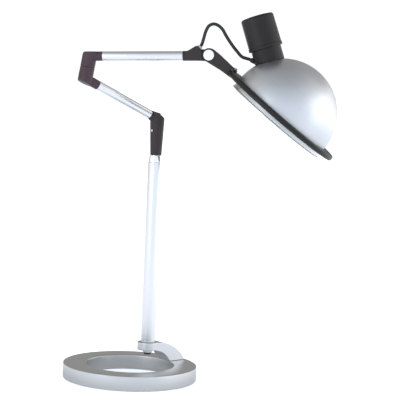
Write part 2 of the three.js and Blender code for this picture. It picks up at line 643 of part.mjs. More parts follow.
// The neck's gland is a small block shaped to the neck, with a spigot through the neck's wall.
const INLET_REACH = 4.4;
const glandBlock = plate([[-3.8, -5, 0], [3.8, -5, 0], [3.2, INLET_REACH, 1], [-3.2, INLET_REACH, 1]], 4.2);
const blockOnNeck = cut(placed(glandBlock, inletFrame), rod(NECK_RADIUS + GAP, 60, NECK_TOP));
const neckGland = cut(
  join(blockOnNeck, placed(rod(3.1, -7, 2, 32), inletFrame)),
  domeSphere,
  holderRoom,
  placed(rod(2.6, -12, 12, 32), inletFrame),
);
add("neck_gland", neckGland, socketFrame, blackMoulding);

// Lampholder, its clamping ring inside the shade, and a small round lamp.
const HOLDER_TOP = 118;
const HOLDER_MOUTH = 66;
const SCREW_BORE = 13.4;
const holder = turned([
  [SCREW_BORE, HOLDER_MOUTH],
  [HOLDER_RADIUS, HOLDER_MOUTH],
  [HOLDER_RADIUS, 104],
  [12, HOLDER_TOP],
  [0, HOLDER_TOP],
  [0, 98],
  [SCREW_BORE, 98],
  [SCREW_BORE, HOLDER_MOUTH],
]);
add("lampholder", holder, socketFrame, whitePlastic);
const holderNut = turned([
  [HOLDER_RADIUS + 0.2, HOLDER_MOUTH + 0.5],
  [20.4, HOLDER_MOUTH + 0.5],
  [18.6, HOLDER_MOUTH + 2.8],
  [HOLDER_RADIUS + 0.2, HOLDER_MOUTH + 2.8],
  [HOLDER_RADIUS + 0.2, HOLDER_MOUTH + 0.5],
]);
const insideDome = placed(sphere(innerRadius - GAP), shift(-SOCKET_OFFSET, 0, 0));
add("holder_nut", common(holderNut, insideDome), socketFrame, whitePlastic);
const bulbCap = turned([
  [0, 70],
  [13, 70],
  [13, 92],
  [8, 95],
  [4.8, 95.6],
  [4.8, 97.2],
  [0, 97.4],
]);
add("bulb_cap", bulbCap, socketFrame, plainSteel);
const GLOBE_CENTRE = 44.5;
const GLOBE_RADIUS = 22.5;
const globeArc = Array.from({ length: 13 }, (_, i) => {
  const angle = -Math.PI / 2 + (i / 12) * rad(142);
  return [GLOBE_RADIUS * Math.cos(angle), GLOBE_CENTRE + GLOBE_RADIUS * Math.sin(angle)];
});
globeArc[0][0] = 0;
const globe = turned([...globeArc, [12.6, 64.6], [12.2, 69.6], [0, 69.6]]);
add("bulb_glass", globe, socketFrame, frostedGlass);

// ---------------------------------------------------------------- lead from the upper arm to the lampholder
const alongGland = (frame, distance) => new THREE.Vector3(0, 0, distance).applyMatrix4(frame);
const inletInHinge = chain(hingeFrame.clone().invert(), socketFrame, inletFrame);
const leadLoop = [
  [-8.9, 22.4],
  [-6.4, 32.2],
  [-2.2, 40],
  [4, 42.6],
  [11, 40.4],
  [16.8, 35.2],
  [20.6, 29],
  [26.2, 20.8],
  [31.2, 14.2],
  [37.4, 7],
  [45, -0.4],
];
const leadCurve = new THREE.CatmullRomCurve3(
  [
    alongGland(glandInHinge, GLAND_FACE + GAP),
    alongGland(glandInHinge, GLAND_FACE + 3),
    ...leadLoop.map(([x, z]) => new THREE.Vector3(x, 0, z)),
    alongGland(inletInHinge, INLET_REACH + 3),
    alongGland(inletInHinge, INLET_REACH + GAP),
  ],
  false,
  "centripetal",
);
const leadSection = new THREE.Shape();
leadSection.absarc(0, 0, LEAD_RADIUS, 0, 2 * Math.PI);
const lead = new THREE.ExtrudeGeometry(leadSection, { steps: 26, curveSegments: 5, extrudePath: leadCurve });
add("head_lead", lead, hingeFrame, rubber);

export default lamp;
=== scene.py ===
import json
import math

import bmesh
import bpy
from mathutils import Matrix, Vector


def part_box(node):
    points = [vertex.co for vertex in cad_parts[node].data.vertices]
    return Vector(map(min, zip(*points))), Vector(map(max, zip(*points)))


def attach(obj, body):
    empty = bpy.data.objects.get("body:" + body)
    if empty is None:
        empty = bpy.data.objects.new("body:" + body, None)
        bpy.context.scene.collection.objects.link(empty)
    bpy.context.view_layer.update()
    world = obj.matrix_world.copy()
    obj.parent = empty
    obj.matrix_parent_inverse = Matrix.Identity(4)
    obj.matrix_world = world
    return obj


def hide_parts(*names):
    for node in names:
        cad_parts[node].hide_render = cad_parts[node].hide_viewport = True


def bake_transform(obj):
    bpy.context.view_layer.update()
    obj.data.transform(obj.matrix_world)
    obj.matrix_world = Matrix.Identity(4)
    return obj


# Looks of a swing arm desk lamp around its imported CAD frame.  Lengths are millimetres in the frame of each
# piece, and piece() places it in the row frame, in metres.

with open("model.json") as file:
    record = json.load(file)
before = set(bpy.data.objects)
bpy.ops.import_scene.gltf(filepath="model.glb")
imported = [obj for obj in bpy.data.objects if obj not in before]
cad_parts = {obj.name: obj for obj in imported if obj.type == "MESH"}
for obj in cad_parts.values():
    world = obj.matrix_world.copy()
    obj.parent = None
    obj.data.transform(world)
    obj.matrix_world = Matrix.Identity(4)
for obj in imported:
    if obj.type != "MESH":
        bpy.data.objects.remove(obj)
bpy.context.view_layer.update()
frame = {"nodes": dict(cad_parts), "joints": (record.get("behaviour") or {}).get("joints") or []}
joints = {joint["name"]: joint for joint in frame["joints"]}

# ---------------------------------------------------------------- driving dimensions
MM = 0.001

RING_OUTER, RING_INNER, RING_BOTTOM, RING_TOP = 95, 62.8, 0.6, 21
PAD_OUTER, PAD_INNER, PAD_THICKNESS = 90, 68, 2
BRACKET_AZIMUTH, BRACKET_HALF = 38, 14
BRACKET_SCREWS_AT = (39, 52)
SCREW_THREAD_BORE, SCREW_SHANK_BORE, SCREW_HEAD_BORE = 2.3, 2.4, 4.3
NIPPLE_BORE, BOSS_RECESS = 4.9, 8.2
BOSS_RADIUS, BOSS_BOTTOM, BOSS_TOP = 15, 38.5, 50

POST_RADIUS, POST_BORE, POST_BOTTOM = 10.5, 8.5, 50.3
COLLAR_FOOT, COLLAR_BOTTOM, COLLAR_TOP = 288, 308.9, 318.6
COLLAR_RADIUS, COLLAR_TOP_RADIUS = 10.3, 8.7
PIN_BORE, BUSH_BORE = 5.3, 6.7
BEND_HEIGHT = 370.4

TUBE_RADIUS, TUBE_BORE, CABLE_BORE = 6.5, 5.5, 3.4
TONGUE_RADIUS, TONGUE_LENGTH = 5.2, 14
LOWER_AZIMUTH, LOWER_SLOPE, LOWER_LENGTH = 207, 24.8, 126.4
LOWER_RIM_POST, LOWER_RIM_ELBOW = 13.5, 21
SET_SCREW_AZIMUTH, SET_SCREW_HEIGHT, SET_SCREW_BORE = 225, 353.6, 1.95

ELBOW_LEAN, ELBOW_HEIGHT, ELBOW_RADIUS, SEAM_HALF = 9.6, 31, 10.1, 0.27
UPPER_AZIMUTH, UPPER_SLOPE, UPPER_LENGTH = -8.4, 2.7, 166.1
UPPER_RIM_ELBOW, UPPER_RIM_END = 18, 130
HINGE_RISE, KNUCKLE, SOCKET_RADIUS = 0.8, 9.5, 6.8
TONGUE_HALF, SLOT_GAP, LINK_HALF = 3.3, 0.5, 8
DISC_GAP, DISC_RADIUS, DISC_THICKNESS = 0.8, 7.3, 1.5
LINK_BOLT_BORE, TONGUE_BOLT_BORE = 3.3, 3.05
GLAND_AT, GLAND_LEAN, GLAND_FACE = (-14.2, 9.7), 34, 2.6
GLAND_FOOT, GLAND_SEAT, GLAND_RADIUS, GLAND_BORE = -3.6, 3.6, 3.3, 2.6

SHADE_CENTRE, SHADE_SLOPE = (103.7, -74.5), 37.9
SHADE_RADIUS, SHADE_WALL, SKIRT_DEPTH, BEAD = 74.7, 1.5, 15.4, 1.1
BAND_OUTER, BAND_DEPTH = 91.6, 7.2
LINK_SCREW_RADIUS_AT, LINK_SCREW_SIDE, LINK_SCREW_BORE, BAND_SCREW_BORE = 87.8, 5, 1.7, 1.4
SOCKET_LEAN, SOCKET_OFFSET = 19, 2.9
NECK_RADIUS, NECK_TOP = 20.6, 97
CAP_RADIUS, CAP_BOTTOM, CAP_TOP = 23, 91, 137
HOLDER_RADIUS, HOLDER_BORE, HOLDER_MOUTH, HOLDER_TOP = 16.6, 13.4, 66, 118
GLOBE_CENTRE, GLOBE_RADIUS, GLOBE_SWEEP, BULB_TOP = 44.5, 22.5, 142, 69.6
THREAD_BOTTOM, THREAD_PITCH, THREAD_TURNS = 71.5, 3.6, 5
THREAD_RADIUS, THREAD_DEPTH = 12.85, 0.45
INLET_HEIGHT, INLET_LEAN, INLET_REACH = 79.2, 38, 4.4
INLET_HOLE, INLET_STEM = 3.4, 3.1
LEAD_RADIUS, LEAD_SIDES = 2.25, 20

# The gap between pieces that meet, a length that passes right through a joint, the segments of turned
# pieces, and the angle from which an edge is shaded sharp.
GAP, THROUGH = 0.3, 60
ROUND, FINE_ROUND, FINEST_ROUND = 96, 128, 192
SHARP_ANGLE = math.radians(32)


# ---------------------------------------------------------------- frames
def shift(x, y, z):
    return Matrix.Translation((x, y, z))


def turn(axis, degrees):
    return Matrix.Rotation(math.radians(degrees), 4, axis)


def at(point):
    """A frame in the row's axes at a point given in metres."""
    return Matrix.Translation(Vector(point) / MM)


ring_middle = sum(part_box("base_ring"), Vector()) / 2
post_point = Vector(joints["post_swivel"]["pos_m"])
hinge_point = Vector(joints["head_tilt"]["pos_m"])
ring_frame = at((ring_middle.x, ring_middle.y, 0))
post_frame = at((post_point.x, post_point.y, 0))
bracket_frame = post_frame @ turn("Z", BRACKET_AZIMUTH)
bend_frame = post_frame @ shift(0, 0, BEND_HEIGHT) @ turn("Z", LOWER_AZIMUTH)
arm_in_bend = turn("Y", 90 - LOWER_SLOPE)
lower_arm_frame = bend_frame @ arm_in_bend
elbow_frame = Matrix.Translation((lower_arm_frame @ shift(0, 0, LOWER_LENGTH)).translation)
elbow_frame = elbow_frame @ turn("Z", LOWER_AZIMUTH)
column_frame = elbow_frame @ turn("Y", -ELBOW_LEAN)
upper_frame = Matrix.Translation(column_frame @ Vector((0, 0, ELBOW_HEIGHT))) @ turn("Z", UPPER_AZIMUTH)
arm_in_upper = turn("Y", 90 - UPPER_SLOPE)
upper_arm_frame = upper_frame @ arm_in_upper
hinge_frame = at(hinge_point) @ turn("Z", UPPER_AZIMUTH)
across_hinge = turn("X", -90)
shade_in_hinge = shift(SHADE_CENTRE[0], 0, SHADE_CENTRE[1]) @ turn("Y", SHADE_SLOPE)
socket_in_hinge = (
    shift(SHADE_CENTRE[0], 0, SHADE_CENTRE[1]) @ turn("Y", -SOCKET_LEAN) @ shift(SOCKET_OFFSET, 0, 0)
)
shade_frame = hinge_frame @ shade_in_hinge
socket_frame = hinge_frame @ socket_in_hinge
gland_in_hinge = shift(GLAND_AT[0], 0, GLAND_AT[1]) @ turn("Y", GLAND_LEAN)
inlet_in_socket = shift(-NECK_RADIUS, 0, INLET_HEIGHT) @ turn("Y", INLET_LEAN - 90)


# ---------------------------------------------------------------- camera
CAMERA_FROM_RING = (0, -2089.3, 434.5)
CAMERA_YAW, CAMERA_PITCH, CAMERA_ROLL = 2.45, 4.8, 2.61
LENS, SENSOR = 133.4, 36

camera = bpy.data.objects.new("camera", bpy.data.cameras.new("camera"))
bpy.context.scene.collection.objects.link(camera)
camera.data.lens = LENS
camera.data.sensor_width = SENSOR
camera.data.clip_start = 0.05
camera.data.clip_end = 60
camera_turn = turn("Z", -CAMERA_YAW) @ turn("X", 90 - CAMERA_PITCH) @ turn("Z", CAMERA_ROLL)
camera_place = ring_frame @ shift(*CAMERA_FROM_RING) @ camera_turn
camera_place.translation *= MM
camera.matrix_world = camera_place
bpy.context.scene.camera = camera


# ---------------------------------------------------------------- mesh helpers
def rounded(points, closed=False, steps=5):
    """A path of (x, y) points through corners given as (x, y) or (x, y, corner radius)."""
    path = []
    for i, (x, y, *radius) in enumerate(points):
        if not radius or (not closed and i in (0, len(points) - 1)):
            path.append(Vector((x, y)))
            continue
        here = Vector((x, y))
        before = (Vector(points[i - 1][:2]) - here).normalized()
        after = (Vector(points[(i + 1) % len(points)][:2]) - here).normalized()
        half = before.angle(after) / 2
        centre = here + (before + after).normalized() * radius[0] / math.sin(half)
        first = here + before * radius[0] / math.tan(half) - centre
        last = here + after * radius[0] / math.tan(half) - centre
        sweep = first.angle(last)
        for step in range(steps + 1):
            t = step / steps
            spoke = first * math.sin((1 - t) * sweep) + last * math.sin(t * sweep)
            path.append(centre + spoke / math.sin(sweep))
    return path


def finished(work):
    """The bmesh as a mesh whose faces look outwards."""
    bmesh.ops.recalc_face_normals(work, faces=work.faces)
    if work.calc_volume(signed=True) < 0:
        bmesh.ops.reverse_faces(work, faces=work.faces)
    mesh = bpy.data.meshes.new("mesh")
    work.to_mesh(mesh)
    work.free()
    return mesh


def lathe(profile, segments=ROUND):
    """(radius, height) points turned about Z.  The profile runs from axis to axis, or closes on itself."""
    work = bmesh.new()
    rings = []
    for radius, height in profile:
        if radius < 1e-6:
            rings.append([work.verts.new((0, 0, height))])
            continue
        angles = [2 * math.pi * i / segments for i in range(segments)]
        rings.append([work.verts.new((radius * math.cos(a), radius * math.sin(a), height)) for a in angles])
    pairs = list(zip(rings, rings[1:]))
    if len(rings[0]) > 1:
        pairs.append((rings[-1], rings[0]))
    for low, high in pairs:
        for i in range(segments):
            j = (i + 1) % segments
            corners = [low[i % len(low)], low[j % len(low)], high[j % len(high)], high[i % len(high)]]
            work.faces.new(list(dict.fromkeys(corners)))
    return finished(work)


def sleeve(outer, inner, bottom, top, edge=0.3, segments=ROUND):
    """A tube about Z with its edges rounded."""
    corners = [(inner, bottom, edge), (outer, bottom, edge), (outer, top, edge), (inner, top, edge)]
    return lathe(rounded(corners, closed=True, steps=3), segments)


def rod(radius, bottom, top, segments=64):
    return lathe([(0, bottom), (radius, bottom), (radius, top), (0, top)], segments)


def plate(corners, half):
    """An outline in X and Z, as rounded() takes it, with its thickness along Y from -half to +half."""
    outline = rounded(corners, closed=True)
    work = bmesh.new()
    front = [work.verts.new((x, -half, z)) for x, z in outline]
    back = [work.verts.new((x, half, z)) for x, z in outline]
    work.faces.new(front)
    work.faces.new(reversed(back))
    for i in range(len(outline)):
        j = (i + 1) % len(outline)
        work.faces.new((front[i], back[i], back[j], front[j]))
    bmesh.ops.triangulate(work, faces=[face for face in work.faces if len(face.verts) > 4])
    return finished(work)


def ball(radius):
    half = FINE_ROUND // 2
    angles = [math.pi * (i / half - 0.5) for i in range(1, half)]
    side = [(abs(radius * math.cos(a)), radius * math.sin(a)) for a in angles]
    return lathe([(0, -radius), *side, (0, radius)], FINE_ROUND)


def moved(mesh, place):
    mesh.transform(place)
    return mesh


def evaluated(mesh, set_up):
    """The mesh after the modifiers that set_up adds to an object that holds it."""
    holder = bpy.data.objects.new("work", mesh)
    bpy.context.scene.collection.objects.link(holder)
    tools = set_up(holder) or []
    graph = bpy.context.evaluated_depsgraph_get()
    result = bpy.data.meshes.new_from_object(holder.evaluated_get(graph), depsgraph=graph)
    for used in [holder, *tools]:
        bpy.data.objects.remove(used)
    return result


def boolean(operation, body, *tools):
    def set_up(holder):
        others = []
        for tool in tools:
            other = bpy.data.objects.new("tool", tool)
            bpy.context.scene.collection.objects.link(other)
            modifier = holder.modifiers.new("boolean", "BOOLEAN")
            modifier.operation = operation
            modifier.solver = "EXACT"
            modifier.object = other
            others.append(other)
        return others

    return evaluated(body, set_up)


def join(body, *tools):
    return boolean("UNION", body, *tools)


def cut(body, *tools):
    return boolean("DIFFERENCE", body, *tools)


def common(body, *tools):
    return boolean("INTERSECT", body, *tools)


def moulded(mesh, voxel=0.4, rounds=6):
    """The shape with softened edges and a small fillet in every inner corner, as moulding leaves."""

    def set_up(holder):
        remesh = holder.modifiers.new("remesh", "REMESH")
        remesh.mode = "VOXEL"
        remesh.voxel_size = voxel
        soften = holder.modifiers.new("soften", "SMOOTH")
        soften.factor = 0.5
        soften.iterations = rounds

    return largest_part(evaluated(mesh, set_up))


def largest_part(mesh):
    """The mesh without any loose sliver beside its main body."""
    work = bmesh.new()
    work.from_mesh(mesh)
    waiting = set(work.verts)
    parts = []
    while waiting:
        front = [waiting.pop()]
        part = list(front)
        while front:
            here = front.pop()
            near = {edge.other_vert(here) for edge in here.link_edges} & waiting
            waiting -= near
            front.extend(near)
            part.extend(near)
        parts.append(part)
    parts.sort(key=len)
    bmesh.ops.delete(work, geom=[vertex for part in parts[:-1] for vertex in part], context="VERTS")
    work.to_mesh(mesh)
    work.free()
    return mesh


def piece(name, mesh, place, material, body, nodes):
    """A piece placed in the row frame, smooth shaded, riding on its body and standing for its nodes."""
    local = mesh.attributes.new("local_mm", "FLOAT_VECTOR", "POINT")
    places = [value for vertex in mesh.vertices for value in vertex.co]
    local.data.foreach_set("vector", places)
    mesh.transform(Matrix.Scale(MM, 4) @ place)
    mesh.name = name
    mesh.materials.clear()
    mesh.materials.append(material)
    mesh.polygons.foreach_set("use_smooth", [True] * len(mesh.polygons))
    mesh.set_sharp_from_angle(angle=SHARP_ANGLE)
    made = bpy.data.objects.new(name, mesh)
    bpy.context.scene.collection.objects.link(made)
    if body:
        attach(made, body)
    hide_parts(*nodes)
    return made


# ---------------------------------------------------------------- material helpers
class Paint:
    """A Principled material whose node tree is built by small calls."""

    def __init__(self, name, color, metallic, roughness):
        self.material = bpy.data.materials.new(name)
        self.material.use_nodes = True
        self.tree = self.material.node_tree
        self.shader = next(n for n in self.tree.nodes if n.type == "BSDF_PRINCIPLED")
        self.shader.inputs["Base Color"].default_value = (*color, 1)
        self.shader.inputs["Metallic"].default_value = metallic
        self.shader.inputs["Roughness"].default_value = roughness
        self.color = color
        self.roughness = roughness

    def node(self, kind, **settings):
        made = self.tree.nodes.new(kind)
        for key, value in settings.items():
            setattr(made, key, value)
        return made

    def link(self, source, target):
        self.tree.links.new(source, target)

    def local(self):
        """The piece's own coordinates in millimetres."""
        return self.node("ShaderNodeAttribute", attribute_name="local_mm").outputs["Vector"]

    def row(self):
        """The row frame's coordinates in metres, for carried-over CAD nodes."""
        return self.node("ShaderNodeTexCoord").outputs["Object"]

    def math(self, operation, *values):
        made = self.node("ShaderNodeMath", operation=operation)
        for socket, value in zip(made.inputs, values):
            if isinstance(value, (int, float)):
                socket.default_value = value
            else:
                self.link(value, socket)
        return made.outputs[0]

    def combine(self, x, y, z):
        made = self.node("ShaderNodeCombineXYZ")
        for socket, value in zip(made.inputs, (x, y, z)):
            self.link(value, socket)
        return made.outputs[0]

    def scaled(self, vector, scale):
        made = self.node("ShaderNodeVectorMath", operation="MULTIPLY")
        self.link(vector, made.inputs[0])
        made.inputs[1].default_value = scale
        return made.outputs[0]

    def around(self, vector, along, across):
        """Coordinates in which noise makes fine rings about the local Z axis."""
        parts = self.node("ShaderNodeSeparateXYZ")
        self.link(vector, parts.inputs[0])
        x, y, z = parts.outputs
        squares = self.math("ADD", self.math("MULTIPLY", x, x), self.math("MULTIPLY", y, y))
        radius = self.math("SQRT", self.math("ADD", squares, 1e-6))
        lines = self.math("MULTIPLY", self.math("ADD", z, radius), across)
        east = self.math("MULTIPLY", self.math("DIVIDE", x, radius), along)
        north = self.math("MULTIPLY", self.math("DIVIDE", y, radius), along)
        return self.combine(east, north, lines)

    def noise(self, vector, scale=1.0, detail=4, roughness=0.6):
        made = self.node("ShaderNodeTexNoise")
        self.link(vector, made.inputs["Vector"])
        made.inputs["Scale"].default_value = scale
        made.inputs["Detail"].default_value = detail
        made.inputs["Roughness"].default_value = roughness
        return made.outputs["Fac"]

    def spread(self, value, low, high, out_low, out_high):
        made = self.node("ShaderNodeMapRange")
        self.link(value, made.inputs[0])
        for socket, number in zip(made.inputs[1:5], (low, high, out_low, out_high)):
            socket.default_value = number
        return made.outputs[0]

    def clouds(self, scale=(0.03, 0.03, 0.03)):
        """Soft changes from place to place, several centimetres across."""
        return self.noise(self.scaled(self.local(), scale), detail=3)

    def tones(self, value, amount):
        """Base colour that varies by the amount about the material's colour."""
        ramp = self.node("ShaderNodeValToRGB")
        self.link(value, ramp.inputs[0])
        ramp.color_ramp.elements[0].position = 0.3
        ramp.color_ramp.elements[1].position = 0.7
        for element, way in zip(ramp.color_ramp.elements, (-1, 1)):
            element.color = (*[c * (1 + way * amount) for c in self.color], 1)
        self.link(ramp.outputs[0], self.shader.inputs["Base Color"])

    def gloss(self, value, amount):
        self.link(
            self.spread(value, 0.3, 0.7, self.roughness - amount, self.roughness + amount),
            self.shader.inputs["Roughness"],
        )

    def bump(self, value, strength, depth_mm):
        made = self.node("ShaderNodeBump")
        made.inputs["Strength"].default_value = strength
        made.inputs["Distance"].default_value = depth_mm * MM
        self.link(value, made.inputs["Height"])
        self.link(made.outputs[0], self.shader.inputs["Normal"])


def turned_metal(name, color, roughness, across=2.2, along=1.2, depth=0.02, metallic=1, strength=0.35):
    """Metal with the fine rings that turning, spinning or brushing round the axis leaves."""
    paint = Paint(name, color, metallic, roughness)
    lines = paint.noise(paint.around(paint.local(), along, across), detail=6, roughness=0.7)
    clouds = paint.clouds()
    paint.tones(lines, 0.05)
    paint.gloss(clouds, 0.04)
    paint.bump(lines, strength, depth)
    return paint.material


def spun_metal(name, color, pale_rim_and_painted_light, roughness):
    """Fine spun metal whose base colour is brighter on the skirt below the band: a paler rim and painted
    light against the shade the band casts there.
    """
    paint = Paint(name, color, 1, roughness)
    lines = paint.noise(paint.around(paint.local(), 0.8, 1.4), detail=6, roughness=0.7)
    clouds = paint.clouds()
    paint.tones(lines, 0.03)
    parts = paint.node("ShaderNodeSeparateXYZ")
    paint.link(paint.local(), parts.inputs[0])
    # Below the band the base colour turns brighter: a paler rim and painted light against the band's shade.
    mixed = paint.node("ShaderNodeMix", data_type="RGBA")
    paint.link(paint.spread(parts.outputs["Z"], -BAND_DEPTH - 0.2, -BAND_DEPTH, 1, 0), mixed.inputs[0])
    paint.link(paint.shader.inputs["Base Color"].links[0].from_socket, mixed.inputs[6])
    mixed.inputs[7].default_value = (*pale_rim_and_painted_light, 1)
    paint.link(mixed.outputs[2], paint.shader.inputs["Base Color"])
    paint.gloss(clouds, 0.04)
    paint.bump(lines, 0.1, 0.004)
    return paint.material


def drawn_metal(name, color, roughness, stretch=(2.6, 2.6, 0.0004), depth=0.002):
    """Metal with fine straight lines along its length, as drawing or linear brushing leaves."""
    paint = Paint(name, color, 1, roughness)
    lines = paint.noise(paint.scaled(paint.local(), stretch), detail=6, roughness=0.65)
    clouds = paint.clouds((0.05, 0.05, 0.004))
    paint.tones(lines, 0.035)
    paint.gloss(clouds, 0.015)
    paint.bump(lines, 0.3, depth)
    return paint.material


def grained_plastic(name, color, roughness, grain=1.6, depth=0.05):
    """Moulded plastic with a fine eroded grain and slight changes of tone."""
    paint = Paint(name, color, 0, roughness)
    pits = paint.noise(paint.local(), scale=grain, detail=3, roughness=0.55)
    clouds = paint.noise(paint.local(), scale=0.06, detail=4)
    paint.tones(clouds, 0.10)
    paint.gloss(pits, 0.06)
    paint.bump(pits, 0.35, depth)
    paint.shader.inputs["Specular IOR Level"].default_value = 0.35
    return paint.material


# ---------------------------------------------------------------- materials
ring_metal = turned_metal("ring metal", (0.61, 0.62, 0.63), 0.34, across=1.6, along=0.9, depth=0.03)
bracket_metal = drawn_metal("bracket metal", (0.62, 0.63, 0.65), 0.34, stretch=(0.06, 2.2, 2.2), depth=0.012)
tube_metal = drawn_metal("tube metal", (0.80, 0.81, 0.825), 0.29)
dome_metal = spun_metal("dome metal", (0.64, 0.66, 0.69), (0.95, 0.96, 0.97), 0.40)
polished = turned_metal("polished steel", (0.88, 0.87, 0.85), 0.10, across=3.0, depth=0.002, strength=0.1)
satin_white = turned_metal("satin white", (0.93, 0.92, 0.91), 0.42, across=2.0, depth=0.004, metallic=0.2)
steel = turned_metal("turned steel", (0.55, 0.55, 0.56), 0.30, across=3.0)
black_moulding = grained_plastic("black moulding", (0.030, 0.022, 0.024), 0.5)
# The elbow is the same black plastic, painted lighter for the light that falls on its face.
lit_elbow_moulding = grained_plastic("elbow moulding painted lit", (0.062, 0.036, 0.047), 0.52)
# The neck, cap and inlet are the same black plastic, painted darker as shade on their undersides.
shaded_cap_moulding = grained_plastic("cap moulding painted shaded", (0.012, 0.009, 0.010), 0.46)
band_paint = grained_plastic("band paint", (0.008, 0.008, 0.007), 0.42, grain=2.4, depth=0.02)
grey_plastic = grained_plastic("grey plastic", (0.62, 0.61, 0.62), 0.45)
white_plastic = grained_plastic("white plastic", (0.86, 0.86, 0.84), 0.35, grain=1.0, depth=0.01)
lead_jacket = grained_plastic("lead jacket", (0.022, 0.021, 0.022), 0.42, grain=2.0, depth=0.02)
pad_rubber = grained_plastic("pad rubber", (0.030, 0.030, 0.030), 0.85, grain=1.2, depth=0.12)


def frosted_glass():
    """White frosted glass: soft, slightly milky, with faint clouds."""
    paint = Paint("frosted glass", (0.92, 0.915, 0.90), 0, 0.38)
    clouds = paint.noise(paint.local(), scale=0.08, detail=3)
    paint.tones(clouds, 0.02)
    paint.gloss(clouds, 0.05)
    paint.shader.inputs["Transmission Weight"].default_value = 0.25
    paint.shader.inputs["Subsurface Weight"].default_value = 0.3
    paint.shader.inputs["Subsurface Radius"].default_value = (0.004, 0.004, 0.004)
    return paint.material


glass = frosted_glass()


def carried(name, color, metallic, roughness, scale):
    """Material of a CAD node that is shown as packed, in the row frame's coordinates."""
    paint = Paint(name, color, metallic, roughness)
    grain = paint.noise(paint.row(), scale=scale, detail=5, roughness=0.65)
    paint.tones(grain, 0.06)
    paint.gloss(grain, 0.05)
    paint.bump(grain, 0.2, 0.02)
    return paint.material


carried_steel = carried("plain steel", (0.56, 0.56, 0.57), 1, 0.32, 900)
carried_brass = carried("brass", (0.70, 0.53, 0.25), 1, 0.30, 900)
carried_rubber = carried("soft black", (0.025, 0.025, 0.025), 0, 0.75, 1500)
# The elbow washer takes the elbow's colour, painted lighter for the light on the elbow.
carried_lit_washer = carried("elbow washer painted lit", (0.062, 0.036, 0.047), 0, 0.52, 1500)
carried_grey = carried("grey washer", (0.55, 0.54, 0.54), 0, 0.5, 1200)
carried_chrome = carried("screw chrome", (0.86, 0.86, 0.86), 1, 0.14, 700)
CARRIED = {
    carried_steel: (
        "bracket_screw_1", "bracket_screw_2", "post_nut", "post_plug", "post_spigot",
        "elbow_pin", "elbow_retainer", "hinge_bolt",
    ),
    carried_brass: ("post_nipple", "swivel_bush", "elbow_bush"),
    carried_rubber: ("inlet_bush",),
    carried_lit_washer: ("elbow_washer",),
    carried_grey: ("hinge_washer_front", "hinge_washer_back"),
    carried_chrome: ("connector_screw",),
}
for material, names in CARRIED.items():
    for node_name in names:
        node = frame["nodes"][node_name]
        node.data.materials.clear()
        node.data.materials.append(material)


# ---------------------------------------------------------------- lead
LEAD_LOOP = [
    (-8.9, 22.4), (-6.4, 32.2), (-2.2, 40), (4, 42.6), (11, 40.4), (16.8, 35.2), (20.6, 29),
    (26.2, 20.8), (31.2, 14.2), (37.4, 7), (45, -0.4),
]


def catmull_rom(points, per_span=6):
    """A centripetal curve through the points."""
    first = points[0] * 2 - points[1]
    last = points[-1] * 2 - points[-2]
    knots = [first, *points, last]
    curve = []
    for a, b, c, d in zip(knots, knots[1:], knots[2:], knots[3:]):
        t1 = (b - a).length ** 0.5
        t2 = t1 + (c - b).length ** 0.5
        t3 = t2 + (d - c).length ** 0.5
        for step in range(per_span):
            t = t1 + (t2 - t1) * step / per_span
            ab = a * ((t1 - t) / t1) + b * (t / t1)
            bc = b * ((t2 - t) / (t2 - t1)) + c * ((t - t1) / (t2 - t1))
            cd = c * ((t3 - t) / (t3 - t2)) + d * ((t - t2) / (t3 - t2))
            near = ab * ((t2 - t) / t2) + bc * (t / t2)
            far = bc * ((t3 - t) / (t3 - t1)) + cd * ((t - t1) / (t3 - t1))
            curve.append(near * ((t2 - t) / (t2 - t1)) + far * ((t - t1) / (t2 - t1)))
    return [*curve, points[-1]]


def tube_along(path, radius, sides):
    """A closed round tube whose path lies in the XZ plane."""
    work = bmesh.new()
    rings = []
    for i, here in enumerate(path):
        before = path[max(i - 1, 0)]
        after = path[min(i + 1, len(path) - 1)]
        ahead = (after - before).normalized()
        side = Vector((0, 1, 0))
        up = side.cross(ahead)
        angles = [2 * math.pi * k / sides for k in range(sides)]
        spokes = [side * math.cos(a) + up * math.sin(a) for a in angles]
        rings.append([work.verts.new(here + spoke * radius) for spoke in spokes])
    for low, high in zip(rings, rings[1:]):
        for k in range(sides):
            m = (k + 1) % sides
            work.faces.new((low[k], low[m], high[m], high[k]))
    work.faces.new(rings[0])
    work.faces.new(rings[-1])
    return finished(work)


def along(place, distance):
    return place @ Vector((0, 0, distance))


inlet_in_hinge = socket_in_hinge @ inlet_in_socket
lead_points = [
    along(gland_in_hinge, GLAND_FACE + GAP),
    along(gland_in_hinge, GLAND_FACE + 3),
    *[Vector((x, 0, z)) for x, z in LEAD_LOOP],
    along(inlet_in_hinge, INLET_REACH + 3),
    along(inlet_in_hinge, INLET_REACH + GAP),
]
lead_path = catmull_rom(lead_points)
lead = piece(
    "lead", tube_along(lead_path, LEAD_RADIUS, LEAD_SIDES), hinge_frame, lead_jacket,
    None, ["head_lead"],
)
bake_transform(lead)


